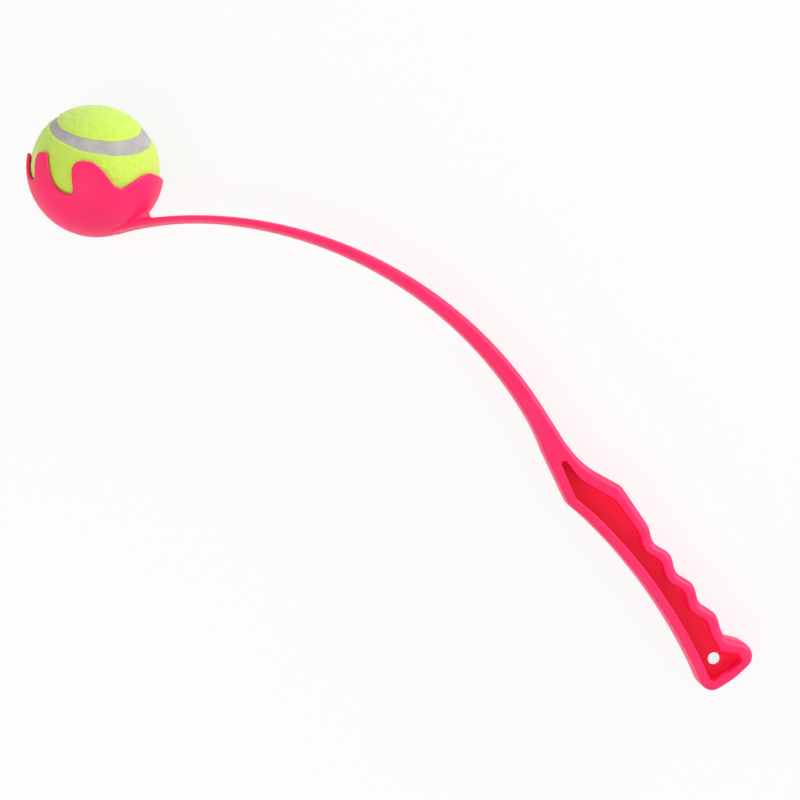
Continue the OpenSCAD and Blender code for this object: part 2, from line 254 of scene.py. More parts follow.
def gridFaces(rows, columns, wrapRows, wrapColumns):  # quads between neighbouring points of a numbered grid
    row = np.arange(rows if wrapRows else rows - 1)[:, None]
    column = np.arange(columns if wrapColumns else columns - 1)[None, :]
    nextRow, nextColumn = (row + 1) % rows, (column + 1) % columns
    corners = (row * columns + column, row * columns + nextColumn,
               nextRow * columns + nextColumn, nextRow * columns + column)
    return np.stack(np.broadcast_arrays(*corners), -1).reshape(-1, 4)


def outwardFaces(grid, wrapRows, wrapColumns):  # the grid's quads, turned so that the shell's volume is positive
    faces = gridFaces(*grid.shape[:2], wrapRows, wrapColumns)
    a, b, c, d = np.moveaxis((grid - grid.mean((0, 1))).reshape(-1, 3)[faces], 1, 0)
    volume = (np.cross(a, b) * c).sum() + (np.cross(a, c) * d).sum()
    return faces if volume > 0 else faces[:, ::-1]


def makePiece(name, shells, material, crease=180.0, shadeMark=None):
    # one object of closed shells, each a grid of points in the part's frame with the ways it wraps, welded where
    # points coincide and creased above an angle
    counts = [grid.shape[0] * grid.shape[1] for grid, *_ in shells]
    points = np.vstack([grid.reshape(-1, 3) for grid, *_ in shells])
    faces = np.vstack([outwardFaces(*shell) + sum(counts[:k]) for k, shell in enumerate(shells)])
    mesh = bpy.data.meshes.new(name)
    mesh.from_pydata(points.tolist(), [], faces.tolist())
    # each point's share of painted shade
    if shadeMark is not None:
        mesh.attributes.new("inside", "FLOAT", "POINT").data.foreach_set("value", shadeMark.ravel())
    solid = bmesh.new()
    solid.from_mesh(mesh)
    bmesh.ops.remove_doubles(solid, verts=solid.verts, dist=weldGap)
    solid.to_mesh(mesh)
    solid.free()
    mesh.shade_smooth()
    mesh.set_sharp_from_angle(angle=np.radians(crease))
    mesh.materials.append(material)
    piece = newObject(name, mesh)
    print(name, "has", len(mesh.polygons), "faces")
    return piece


def resampled(path, follower, count):  # closed path at equal steps, with a second path carried along
    closed = np.vstack([path, path[:1]])
    steps = np.linalg.norm(np.diff(closed, axis=0), axis=1)
    walked = np.concatenate([[0], np.cumsum(steps)])
    at = np.linspace(0, walked[-1], count, endpoint=False)
    both = np.hstack([closed, np.vstack([follower, follower[:1]])])
    return np.stack([np.interp(at, walked, both[:, k]) for k in range(both.shape[1])], -1)


def softened(values):  # running average of a closed row of points with a bell-shaped weight
    reach = np.arange(-3 * softSteps, 3 * softSteps + 1)
    weights = np.exp(-0.5 * (reach / softSteps) ** 2)
    weights /= weights.sum()
    return sum(weight * np.roll(values, shift, axis=0) for weight, shift in zip(weights, reach))


# Shaft: a flat bar along a cubic curve that meets the cup's underside tangentially
shaft = {"rootX": 136.0, "rootY": -2.75, "rootTurn": -12.5, "rootPull": 108.3, "neckTurn": 158.0, "neckPull": 72.2,
         "rootThick": 11.9, "midThick": 10.0, "waistThick": 3.7, "neckThick": 3.3, "waistAt": 0.78, "flareEnd": 0.067,
         "rootDepth": 24.0, "neckDepth": 17.5, "edgeRound": 3.0, "edgeShare": 0.46, "neckSink": 0.3,
         "crown": 7.0, "crownFrom": 0.5, "crownEnd": 0.97, "crownFall": 0.13,
         "startInside": -0.018, "startShrink": 1.5, "fineFrom": 0.86, "steps": (200, 150), "barSteps": (15, 5, 11),
         "fillet": 3.0, "filletFrom": 0.8, "filletSteps": 500, "filletRows": 45, "filletArc": 17, "filletInset": 0.1,
         "filletFade": 0.8, "filletPower": 6, "filletDeep": 0.8, "bendFrom": 0.56, "bendTo": 0.9, "crease": 40.0}
cupRadius = 34.7
cupWall = 1.9
shaftStart = np.array([shaft["rootX"], shaft["rootY"]])
shaftEnd = ballInStick[:2] + (cupRadius - shaft["neckThick"] / 2 - shaft["neckSink"]) * heading(shaft["neckTurn"])
shaftPulls = np.array([shaftStart, shaftStart + shaft["rootPull"] * heading(shaft["rootTurn"]),
                       shaftEnd - shaft["neckPull"] * heading(shaft["neckTurn"] - 90), shaftEnd])


def shaftLine(along):  # cubic curve of the shaft's middle at these shares of its run
    u = np.asarray(along)[..., None]
    weights = np.concatenate([(1 - u) ** 3, 3 * u * (1 - u) ** 2, 3 * u ** 2 * (1 - u), u ** 3], -1)
    return weights @ shaftPulls


def shaftSide(along):  # unit vectors across the shaft, away from the ball
    u = np.asarray(along)[..., None]
    weights = np.concatenate([(1 - u) ** 2, 2 * u * (1 - u), u ** 2], -1)
    slope = unit(weights @ np.diff(shaftPulls, axis=0))
    return np.stack([-slope[..., 1], slope[..., 0]], -1)


def shaftThick(along):  # tapers to the waist, with a flare at the root
    flare = (shaft["rootThick"] - shaft["midThick"]) * np.maximum(1 - along / shaft["flareEnd"], 0) ** 2
    taper = np.interp(along, [0, shaft["waistAt"], 1], [shaft["midThick"], shaft["waistThick"], shaft["neckThick"]])
    return np.where(along < 0, shaft["rootThick"], taper + flare)


def shaftDepth(along):
    return shaft["neckDepth"] + (shaft["rootDepth"] - shaft["neckDepth"]) * (1 - np.maximum(along, 0)) ** 2


def roundedBar(sideSteps, faceSteps, cornerSteps):
    # ring of a rounded bar: shares of the core rectangle, and the outward direction that the rounding adds
    side = np.linspace(-1, 1, sideSteps)
    face = np.linspace(-1, 1, faceSteps)[1:-1]
    corner = np.linspace(0, 90, cornerSteps)[1:-1]
    whole = np.ones
    quarter = (1, 1, 0), (-1, 1, 90), (-1, -1, 180), (1, -1, 270)
    sides = [np.column_stack([whole(sideSteps), side, heading(0 * side)]),
             np.column_stack([-face, whole(face.size), heading(90 + 0 * face)]),
             np.column_stack([-whole(sideSteps), -side, heading(180 + 0 * side)]),
             np.column_stack([face, -whole(face.size), heading(270 + 0 * face)])]
    corners = [np.column_stack([s * whole(corner.size), f * whole(corner.size), heading(a + corner)])
               for s, f, a in quarter]
    ends = [np.column_stack([s * whole(1), f * whole(1), heading(a + np.array([90.0 if a % 180 == 0 else 0.0]))])
            for s, f, a in quarter]
    ring = []
    for k in range(4):
        ring += [sides[k], corners[k]] if k % 2 == 0 else [ends[k - 1], sides[k], ends[k], corners[k]]
    return np.vstack(ring)


def shaftRounds(along):  # rounding across the shaft's thickness, and the longer one across its depth
    edge = np.minimum(shaft["edgeRound"], shaft["edgeShare"] * shaftThick(along))
    share = np.minimum(np.minimum(along / shaft["crownFrom"], 1), (shaft["crownEnd"] - along) / shaft["crownFall"])
    return edge, np.maximum(edge, shaft["edgeRound"] + (shaft["crown"] - shaft["edgeRound"]) * share)


def shaftGrid():
    # the bar's ring carried along the curve, its end kept within the cup's wall
    along = np.concatenate([np.linspace(shaft["startInside"], shaft["fineFrom"], shaft["steps"][0]),
                            np.linspace(shaft["fineFrom"], 1, shaft["steps"][1])[1:]])
    ring = roundedBar(*shaft["barSteps"])
    thick, depth = shaftThick(along), shaftDepth(along)
    edge, crown = shaftRounds(along)
    inside = np.clip(along / shaft["startInside"], 0, 1) * shaft["startShrink"]
    across = ring[None, :, 0] * (thick / 2 - edge - inside)[:, None] + ring[None, :, 2] * edge[:, None]
    high = ring[None, :, 1] * (depth / 2 - crown - inside)[:, None] + ring[None, :, 3] * crown[:, None]
    flat = shaftLine(along)[:, None] + across[..., None] * shaftSide(along)[:, None]
    points = np.concatenate([flat, high[..., None]], -1)
    reach = np.linalg.norm(points - ballInStick, axis=-1, keepdims=True)
    return ballInStick + (points - ballInStick) * np.maximum(reach, cupRadius - cupWall / 2) / reach


def firstCrossing(gap, along):  # where each row of falling gaps reaches zero, between its two neighbours
    after = np.argmax(gap < 0, axis=1)
    row = np.arange(len(gap))
    share = gap[row, after - 1] / (gap[row, after - 1] - gap[row, after])
    return along[after - 1] + share * (along[after] - along[after - 1])


def filletGrid():
    # hollow fillet in the wedge between the shaft and the cup: at each height an arc that touches both
    along = np.linspace(shaft["filletFrom"], 1, shaft["filletSteps"])
    high = np.linspace(-1, 1, shaft["filletRows"])[:, None] * (shaft["neckDepth"] / 2 - shaft["filletInset"])
    radius = np.sqrt(cupRadius ** 2 - high ** 2)
    bend = shaft["fillet"] * (1 - shaft["filletFade"] * (high / high.max()) ** shaft["filletPower"])

    def ballSide(u, lift):  # points this far off the shaft's ball side
        edge, crown = shaftRounds(u)
        over = np.clip((np.abs(high) - shaftDepth(u) / 2 + crown) / crown, 0, 1)
        half = shaftThick(u) / 2 - edge + edge * np.sqrt(1 - over ** 2)
        return shaftLine(u) - (half + lift)[..., None] * shaftSide(u)

    def meeting(lift):  # places along the shaft where those points are as far off the cup
        points = ballSide(np.broadcast_to(along, (high.size, along.size)), lift)
        return firstCrossing(np.linalg.norm(points - ballInStick[:2], axis=-1) - radius - lift, along)[:, None]

    touch, apex = meeting(bend), meeting(0.0)
    centre, side = ballSide(touch, bend), shaftSide(touch)
    forward = np.stack([side[..., 1], -side[..., 0]], -1)
    toBall = unit(ballInStick[:2] - centre)
    share = np.linspace(0, 1, shaft["filletArc"])[None]
    swing = np.arctan2((toBall * forward).sum(-1), (toBall * side).sum(-1)) * share
    arcs = centre + bend[..., None] * (np.cos(swing)[..., None] * side + np.sin(swing)[..., None] * forward)
    flat = np.concatenate([arcs, ballSide(apex, -shaft["filletDeep"])], 1)
    grid = np.concatenate([flat, np.broadcast_to(high[..., None], flat.shape[:2] + (1,))], -1)
    ends = [np.broadcast_to(grid[k, -1], grid[k].shape)[None] for k in (0, -1)]
    return np.concatenate([ends[0], grid, ends[1]])


def closedEnds(grid):  # adds a row at each end, drawn together in the end's middle
    first, last = (np.broadcast_to(grid[k].mean(0), grid[k].shape)[None] for k in (0, -1))
    return np.concatenate([first, grid, last])


shaftPiece = makePiece("shaft", [(laid(closedEnds(shaftGrid())), False, True), (laid(filletGrid()), False, True)],
                       pinkPlastic, shaft["crease"])
bendStart, bendEnd = (laid(np.append(shaftLine(shaft[key]), 0.0)) for key in ("bendFrom", "bendTo"))
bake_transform(shaftPiece)
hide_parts("shaft_root", "shaft_neck")

# Handle: a rim with round edges carried round the grip's outline, with a recess inside
handle = {"depth": 24.0, "edgeRound": 4.2, "lipRound": 1.2, "flatLeast": 0.3, "footRound": 1.0, "web": 3.0,
          "webCover": 0.03, "webLap": 1.1, "rim": 5.8, "palmRim": 5.1, "recessRound": 1.6, "pocketRound": 1.3,
          "mouthRound": 2.4, "recessEnd": 8.5, "recessTurn": -7.0, "tipFan": (4, 80), "tipReach": 14.0,
          "tipLeast": 0.06, "runIn": 24.0, "endRound": 4.6, "guardX": 99.5, "buttX": 12.4, "fingerY": 17.2,
          "palmY": 4.9, "palmAt": 62.0, "palmRadius": 258.0, "palmTo": 4.0, "guardLead": 2, "bumps": 3,
          "firstBump": 19.0, "pitch": 19.1, "grooveDepth": 3.0, "grooveLead": 0.36, "bumpY": 14.2, "bumpFlare": 1.2,
          "guardRound": 3.6, "buttRound": 6.2, "hookRound": 4.6, "sweepRound": 40.0, "buttLean": 1.6,
          "guardRise": (9.5, 4.75), "guardSweep": (20.5, -8.6), "buttRise": 1.6, "buttMiddle": -2.0,
          "buttThin": 1.0, "nearPalm": 0.2, "nearSweep": 0.4, "hookFront": -2.0, "grooveStart": (-5.4, 0.7),
          "intoShaft": 0.035, "shaftSink": 0.5, "sinkRun": 10,
          "stations": 560, "arcSteps": 13, "grooveSteps": 120, "palmSteps": 60, "roundSteps": 8,
          "wallShade": 0.7, "fingerWallLight": 0.6, "wallTurn": 1.4, "crease": 50.0}
# the recess's corners, from the outline's, as shares of the rim's width
recessShift = {"guardPalm": (0, -0.96), "buttPalm": (0.92, -1.27), "hookBack": (0.57, 1.3),
               "hookFront": (-0.26, 1.08), "grooveStart": (-0.78, 0.95), "guardFinger": (-0.7, 1.14),
               "guardSweep": (-0.86, 1)}


def palmEdge(x):  # hollow arc of the palm side
    return handle["palmY"] + (x - handle["palmAt"]) ** 2 / (2 * handle["palmRadius"])


def fingerEdge(x):  # cosine wave of the finger grooves
    lastBump = handle["firstBump"] + handle["bumps"] * handle["pitch"]
    crest = handle["bumpY"] + handle["bumpFlare"] * (x - handle["firstBump"]) / (lastBump - handle["firstBump"])
    wave = np.cos(2 * np.pi * (x - handle["firstBump"]) / handle["pitch"])
    return crest - handle["grooveDepth"] * (1 - wave) / 2


def arc(before, at, after, radius):  # arc that touches both sides of a corner
    toBefore, toAfter = unit(before - at), unit(after - at)
    half = np.arccos(np.clip(toBefore @ toAfter, -1, 1)) / 2
    centre = at + radius / np.sin(half) * unit(toBefore + toAfter)
    arm = centre - at
    first, last = (direction * (arm @ direction) - arm for direction in (toBefore, toAfter))
    angles = [np.degrees(np.arctan2(spoke[1], spoke[0])) for spoke in (first, last)]
    swing = (angles[1] - angles[0] + 180) % 360 - 180
    return centre + radius * heading(angles[0] + swing * np.linspace(0, 1, handle["arcSteps"]))


def throughCorners(parts):
    # path of stretches of points and of (corner, radius) pairs, whose arcs meet the neighbours' ends
    flat = [part[0] if isinstance(part, tuple) else part for part in parts]
    path = []
    for k, part in enumerate(parts):
        if isinstance(part, tuple):
            before = flat[k - 1] if flat[k - 1].ndim == 1 else flat[k - 1][-1]
            following = flat[(k + 1) % len(flat)]
            after = following if following.ndim == 1 else following[0]
            path.append(arc(before, part[0], after, part[1]))
        else:
            path.append(part)
    return np.vstack(path)


def handleOutlines():
    # the grip's outline and the recess's, with as many points each, counted anticlockwise from the shaft's end
    h, rimWide, palmWide, small = handle, handle["rim"], handle["palmRim"], handle["recessRound"]
    toRecess = {corner: np.array(shift) for corner, shift in recessShift.items()}
    grooveFrom = h["firstBump"] - h["grooveLead"] * h["pitch"]
    grooveX = np.linspace(grooveFrom, h["firstBump"] + h["bumps"] * h["pitch"], h["grooveSteps"])
    palmX = np.linspace(h["guardX"] - h["guardLead"], h["palmTo"], h["palmSteps"])
    rootLeft, rootRight = (shaftStart + side * shaft["rootThick"] / 2 * shaftSide(0.0) for side in (1, -1))
    sunk = shaftThick(np.array(h["intoShaft"])) / 2 - h["shaftSink"]
    inLeft, inRight = (shaftLine(h["intoShaft"]) + side * sunk * shaftSide(h["intoShaft"]) for side in (1, -1))
    guardPalm = np.array([h["guardX"], h["palmY"]]) + h["guardRise"]
    guardSweep = np.array([h["guardX"], 0.0]) + h["guardSweep"]
    buttPalm = np.array([h["buttLean"] - h["buttX"], palmEdge(-h["buttX"] / 2) + h["buttRise"]])
    buttMiddle = np.array([-h["buttX"], h["buttMiddle"]])
    hookBack = np.array([h["buttLean"] - h["buttX"], -h["fingerY"]])
    hookFront = np.array([h["hookFront"], -h["fingerY"]])
    grooveStart = np.array([grooveFrom, -fingerEdge(h["firstBump"] - h["pitch"] / 2)]) + h["grooveStart"]
    guardFinger = np.array([h["guardX"], -h["fingerY"]])
    nearLeft = rootLeft * (1 - h["nearPalm"]) + guardPalm * h["nearPalm"]
    nearRight = rootRight * (1 - h["nearSweep"]) + guardSweep * h["nearSweep"]
    outer = throughCorners([
        (inLeft, h["endRound"]), np.array([rootLeft, nearLeft]), (guardPalm, h["guardRound"]),
        np.column_stack([palmX, palmEdge(palmX)]), (buttPalm, h["buttRound"]), (buttMiddle, h["sweepRound"]),
        (hookBack, h["buttRound"]), (hookFront, h["hookRound"]), (grooveStart, h["hookRound"]),
        np.column_stack([grooveX, -fingerEdge(grooveX)]), (guardFinger, h["hookRound"]),
        (guardSweep, h["sweepRound"]), np.array([nearRight, rootRight]), (inRight, h["endRound"])])
    tipMiddle = shaftStart - (h["recessEnd"] + small) * heading(h["recessTurn"])
    tipFan = np.linspace(*h["tipFan"], h["arcSteps"] + 2)
    tipLeft, tipRight = (tipMiddle + small * heading(h["recessTurn"] + side * tipFan) for side in (1, -1))
    recess = throughCorners([
        tipLeft, (guardPalm + palmWide * toRecess["guardPalm"], small),
        np.column_stack([palmX, palmEdge(palmX) - palmWide]), (buttPalm + palmWide * toRecess["buttPalm"], small),
        (buttMiddle + [rimWide - h["buttThin"], 0], h["sweepRound"]),
        (hookBack + rimWide * toRecess["hookBack"], h["pocketRound"]),
        (hookFront + rimWide * toRecess["hookFront"], h["pocketRound"]),
        (grooveStart + rimWide * toRecess["grooveStart"], h["mouthRound"]),
        np.column_stack([grooveX, rimWide - fingerEdge(grooveX)]),
        (guardFinger + rimWide * toRecess["guardFinger"], small),
        (guardSweep + rimWide * toRecess["guardSweep"], h["sweepRound"] / 2), tipRight[::-1]])
    return outer, recess


def handleGrid():
    # at each station: up from the web's foot, over the lip and the flat, round the outside, and back below
    outer, recess = handleOutlines()
    both = softened(resampled(outer, recess, handle["stations"]))
    outer, recess = both[:, :2], both[:, 2:]
    tangent = unit(np.roll(outer, -1, axis=0) - np.roll(outer, 1, axis=0))
    inward = np.stack([-tangent[:, 1], tangent[:, 0]], -1)
    toRim = unit(outer - recess)
    beyondRoot = (outer - shaftStart) @ heading(shaft["rootTurn"])
    top = handle["depth"] / 2
    sunkTop = top - (np.clip(beyondRoot / handle["sinkRun"], 0, 1) * handle["shaftSink"])[:, None]
    turn = np.linspace(0, np.pi / 2, handle["roundSteps"])
    lip = handle["lipRound"]
    runIn = np.clip(-beyondRoot / handle["runIn"], 0, 1)[:, None]
    edge = shaft["edgeRound"] + (handle["edgeRound"] - shaft["edgeRound"]) * runIn ** 2 * (3 - 2 * runIn)
    room = ((recess - outer) * inward).sum(1, keepdims=True) - lip - handle["flatLeast"]
    edge = np.where(runIn > 0, np.minimum(edge, room), edge)  # leaves a flat beside the lip
    fromTip = np.linalg.norm(recess - recess[recess[:, 0].argmax()], axis=1)
    opened = np.clip(fromTip / handle["tipReach"], handle["tipLeast"], 1)[:, None]
    foot, lap = handle["footRound"] * opened, handle["webLap"] * opened
    web = handle["web"] / 2
    cover = (recess - (foot + lap) * toRim)[:, None], np.full((len(outer), 1), web - handle["webCover"])
    rise = (recess[:, None] + (foot * (np.sin(turn) - 1))[..., None] * toRim[:, None],
            web + foot * (1 - np.cos(turn)))
    roll = (recess[:, None] + lip * (1 - np.cos(turn))[:, None] * toRim[:, None],
            np.broadcast_to(top + lip * (np.sin(turn) - 1), (len(outer), turn.size)))
    fall = (outer[:, None] + (edge * (1 - np.sin(turn)))[..., None] * inward[:, None],
            sunkTop + edge * (np.cos(turn) - 1))
    flat = np.concatenate([part[0] for part in (cover, rise, roll, fall)], 1)
    high = np.concatenate([part[1] for part in (cover, rise, roll, fall)], 1)
    upper = np.concatenate([flat, high[..., None]], -1)
    # share of painted shade, the pink's redder tone in the recess's own shade: whole on the web, less on the wall,
    # least on the finger side, whose wall is painted lighter as if lit, none beyond the lip
    wall = handle["wallShade"] - handle["fingerWallLight"] * np.clip(-handle["wallTurn"] * toRim[:, 1:], 0, 1)
    fade = np.linspace(0, 1, turn.size)[None]
    shadeMark = np.concatenate([np.ones_like(wall), 1 - (1 - wall) * fade, wall * (1 - fade), 0 * wall * fade], 1)
    return np.concatenate([upper, upper[:, ::-1] * [1, 1, -1]], 1), np.concatenate([shadeMark, shadeMark[:, ::-1]], 1)


handlePoints, handleShadeMarks = handleGrid()
# the rim carries its painted recess shade in the points' shares
handlePiece = makePiece("handleRim", [(laid(handlePoints), True, True)], rimPlastic, handle["crease"],
                        handleShadeMarks)
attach(handlePiece, "handle")
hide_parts("handle_rim")

# Cup: one wall whose rim runs over finger tips and down into notches
cup = {"tipRise": 1.3, "broadDrop": 0.6, "neckEnd": 12.0, "farEnd": 170.0, "rimSpan": 1.3, "rootDrop": 2.0,
       "bendReach": 7.0, "rimStep": 0.25, "flankSteps": 60, "wallRows": 14, "roundRows": 11, "bowlRows": 44,
       "sideColumns": 60, "farColumns": 90, "columnGap": 0.1, "crease": 40.0}
# notches: place from the neck, depth, floor width, and per flank its end, height and level runs at foot and top
notches = {
    "dip": (52.5, 10.3, 2.4, (23.7, cup["tipRise"], 0.0, 0.42), (84.6, -cup["broadDrop"], 0.36, 0.44)),
    "notch": (99.8, 18.0, 0.8, (86.0, -cup["broadDrop"], 0.86, 1.86), (126.9, cup["tipRise"], 0.95, 0.29)),
    "slit": (143.7, 12.7, 0.4, (131.5, cup["tipRise"], 0.59, 1.0), (161.0, cup["tipRise"], 1.55, 0.25)),
}


def flank(notch, side):  # cubic curve from a notch's floor to a finger's tip, as places round the mouth and heights
    at, depth, width, *sides = notch
    end, height, foot, top = sides[side]
    start = at + np.sign(end - at) * np.degrees(width / 2 / cupRadius)
    t = np.linspace(0, 1, cup["flankSteps"])
    along = 3 * t * (1 - t) * (foot * (1 - t) + (1 - top) * t) + t ** 3
    return np.column_stack([start + (end - start) * along, -depth + (depth + height) * t * t * (3 - 2 * t)])


def onSphere(place, height):  # unit vectors at places round the mouth, at heights on the cup's outside
    z = np.asarray(height) / cupRadius
    flat = heading(place) * np.sqrt(1 - z * z)[..., None]
    return np.concatenate([flat, z[..., None]], -1)


def wholeRim():
    # the rim from the neck to the far end and back on the other side, at even steps, its corners softened
    flanks = [row for notch in notches.values() for row in (flank(notch, 0)[::-1], flank(notch, 1))]
    ends = [np.array([[0.0, cup["tipRise"]], [cup["neckEnd"], cup["tipRise"]]]),
            np.array([[cup["farEnd"], cup["tipRise"]], [180.0, cup["tipRise"]]])]
    half = onSphere(*np.vstack([ends[0], *flanks, ends[1]]).T)
    whole = np.vstack([half, half[-2:0:-1] * otherSide])
    length = np.linalg.norm(np.diff(np.vstack([whole, whole[:1]]), axis=0), axis=1).sum() * cupRadius
    count = 2 * int(length / cup["rimStep"] / 2)
    even = resampled(whole, whole, count)[:, :3]
    return unit(softened(even))


rim = wholeRim()
rimTangent = unit(np.roll(rim, -1, axis=0) - np.roll(rim, 1, axis=0))
rimUp = np.cross(rim, rimTangent)


def rimAt(name):  # number of the rim's point at a notch's floor
    place, depth = notches[name][:2]
    return int(np.argmax(rim @ onSphere(np.array(place), np.array(-depth))))


def rootPlane(first, second):  # upward normal of the plane through the ball's centre just below two notch floors
    floors = [onSphere(np.array(notches[name][0]), np.array(-notches[name][1] - cup["rootDrop"]))
              for name in (first, second)]
    return unit(np.cross(*floors))


def onPlane(normal, place):  # unit vectors in a plane through the ball's centre at places round the mouth
    flat = heading(place)
    rise = -(flat @ normal[:2]) / normal[2]
    return unit(np.concatenate([flat, rise[..., None]], -1))


def roundEdge(chosen):
    # over the rim: half a circle across the wall, square to the rim's own run
    turn = np.linspace(0, np.pi, cup["roundRows"])
    inset = np.concatenate([[cup["rimSpan"]], cupWall / 2 * (1 - np.sin(turn)), [cup["rimSpan"]]])
    radius = cupRadius - cupWall / 2 + cupWall / 2 * np.concatenate([[1], np.cos(turn), [-1]])
    direction = unit(rim[chosen][:, None] - (inset / radius)[None, :, None] * rimUp[chosen][:, None])
    return direction * radius[None, :, None]


def wallColumns(below, above, rows):  # unit vectors from one row of directions to another, even shares apart
    share = np.linspace(0, 1, rows)[None, :, None]
    return unit(below[:, None] * (1 - share) + above[:, None] * share)


def thickened(directions, edge):  # outside wall, rim and inside wall of each column as one ring
    return np.concatenate([directions[:, :-1] * cupRadius, edge, directions[:, -2::-1] * (cupRadius - cupWall)], 1)


def sideClosed(grid):  # adds a column at each end, drawn together in the middle of the wall
    ends = unit(grid[[0, -1]])
    closing = unit(ends + ends[:, ::-1]) * (cupRadius - cupWall / 2)
    return np.concatenate([closing[:1], grid, closing[1:]])


def fingerGrid(first, last, normal):
    # columns from the root plane up to the rim, which lean where a flank overhangs
    chosen = np.arange(first, last + 1)
    edge = roundEdge(chosen)
    top = unit(edge[:, 0])
    place = np.degrees(np.unwrap(np.arctan2(top[:, 1], top[:, 0]))) % 360
    upright = np.minimum.accumulate(place[::-1])[::-1]
    root = onPlane(normal, np.clip(upright, place[0], place[-1]))
    return sideClosed(thickened(wallColumns(root, top, cup["wallRows"]), edge))


def fingerPiece(name, node, first, last, normal, mirror):
    grid = fingerGrid(first, last, normal) * mirror
    piece = makePiece(name, [(cupped(grid), False, True)], pinkPlastic, cup["crease"])
    middle = rim[(first + last) // 2] * mirror
    up = normal * mirror
    onRoot = unit(middle - up * (middle @ up)) * cupRadius
    bend = [cupped(onRoot + up * reach) for reach in (cup["rootDrop"], cup["rootDrop"] + cup["bendReach"])]
    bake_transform(piece)
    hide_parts(node)


dipAt, notchAt, slitAt = (rimAt(name) for name in ("dip", "notch", "slit"))
broadPlane, sidePlane = rootPlane("dip", "notch"), rootPlane("notch", "slit")
slitFloor = onSphere(np.array(notches["slit"][0]), np.array(-notches["slit"][1] - cup["rootDrop"]))
farPlane = unit(np.cross(slitFloor, slitFloor * otherSide))
sameSide = np.ones(3)
for word, mirror in (("upper", otherSide), ("lower", sameSide)):
    fingerPiece("fingerBroad." + word, "finger_broad_" + word, dipAt, notchAt, broadPlane, mirror)
    fingerPiece("fingerSide." + word, "finger_side_" + word, notchAt, slitAt, sidePlane, mirror)
fingerPiece("fingerFar", "finger_far", slitAt, len(rim) - slitAt, farPlane, sameSide)


def bowlGrid():
    # columns from the pole: to the root planes under the fingers, and over the rim at the neck
    rimEdge = roundEdge(np.arange(-dipAt, dipAt + 1))
    neckEnd = np.degrees(np.arctan2(rimEdge[-1, 0, 1], rimEdge[-1, 0, 0]))
    notch, slit = (notches[name][0] for name in ("notch", "slit"))
    below = [onPlane(broadPlane, np.linspace(neckEnd + cup["columnGap"], notch, cup["sideColumns"])),
             onPlane(sidePlane, np.linspace(notch, slit, cup["sideColumns"])),
             onPlane(farPlane, np.linspace(slit, 360 - slit, cup["farColumns"]))]
    low = np.vstack([*below, below[1][::-1] * otherSide, below[0][::-1] * otherSide])
    across = np.linspace(cupRadius, cupRadius - cupWall, rimEdge.shape[1])
    top = np.concatenate([unit(rimEdge[:, 0]), low])
    edge = np.concatenate([rimEdge, low[:, None] * across[None, :, None]])
    angle = np.arccos(np.clip(-top[:, 2], -1, 1))[:, None, None] * np.linspace(0, 1, cup["bowlRows"])[:, None]
    directions = np.concatenate([np.sin(angle) * unit(top[:, :2])[:, None], -np.cos(angle)], -1)
    return thickened(directions, edge)


bowlPiece = makePiece("cupBowl", [(cupped(bowlGrid()), True, False)], pinkPlastic, cup["crease"])
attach(bowlPiece, "head")
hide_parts("cup_bowl")

# Ball: two felt panels shaped like dumbbells, and the rubber seam between them
ball = {"radius": 32.5, "feltThick": 3.0, "seamWidth": 6.2, "seamSink": 0.6, "seamTilt": 14.4,
        "turn": (-164.7, -0.5, -141.8), "edgeRound": 1.1, "edgeDrop": 0.9, "lump": 0.1, "nap": 0.06,
        "wideWay": (-0.62, -0.78, 0.1), "wideShare": 0.36, "ragged": 0.05, "bandShare": 1.6,
        "rowTurn": 1.52, "leastHalf": 0.02, "lengthSteps": 260, "widthSteps": 120, "glueGap": 0.05,
        "seamHollow": 0.18, "seamNap": 0.04, "seamSteps": 520, "bandSteps": 25, "lobeLeast": 0.1,
        "lumpWaves": (40, 70, 25, 7), "napWaves": (60, 420, 180, 8), "seamWaves": (40, 260, 90, 9),
        "raggedWaves": (24, 34, 8, 10)}  # waves: how many, the finest, the coarsest and a seed


def turned(degrees):  # turns about x, then y, then z
    a, b, c = np.radians(degrees)
    aboutX = np.array([[1, 0, 0], [0, np.cos(a), -np.sin(a)], [0, np.sin(a), np.cos(a)]])
    aboutY = np.array([[np.cos(b), 0, np.sin(b)], [0, 1, 0], [-np.sin(b), 0, np.cos(b)]])
    aboutZ = np.array([[np.cos(c), -np.sin(c), 0], [np.sin(c), np.cos(c), 0], [0, 0, 1]])
    return aboutZ @ aboutY @ aboutX


ballTurn = stickTurn @ turned(ball["turn"])
otherPanel = turned((180, 0, 90))  # the second panel lies across the first
seamHalf = ball["seamWidth"] / 2 / ball["radius"]
wideWay = np.array(ball["wideWay"]) @ turned(ball["turn"])
tilt = np.radians(ball["seamTilt"])
seamOpen = np.arccos(np.cos(tilt) / np.sqrt(2))
feltInside = ball["radius"] - ball["feltThick"] + ball["glueGap"]


def balled(points):  # ball frame in mm to the part's frame in metres
    return points * mm @ ballTurn.T + ballAt


def panelEnd(margin):  # angle along the panel's middle where it ends, this far inside the seam's line
    return tilt + np.pi / 2 + seamOpen - margin


def panelHalfWidth(along, margin):
    # half the panel's width, as an angle: between two caps over the waist, inside one cap in each lobe
    reach = np.abs(along)
    rise = np.cos(reach) * np.sin(tilt)
    waist = np.arcsin(np.cos(seamOpen + margin) / np.hypot(np.cos(tilt), rise)) - np.arctan2(rise, np.cos(tilt))
    lobeSine = np.maximum(np.sin(reach - tilt), ball["lobeLeast"])  # kept off zero over the waist
    lobe = np.arccos(np.clip(np.cos(seamOpen - margin) / lobeSine, -1, 1))
    return np.where(reach < np.pi / 2, waist, lobe)


def panelDirections(along, across):  # unit vectors at angles along the panel's middle and across it
    return np.stack(np.broadcast_arrays(np.sin(across), np.cos(across) * np.sin(along),
                                        np.cos(across) * np.cos(along)), -1)


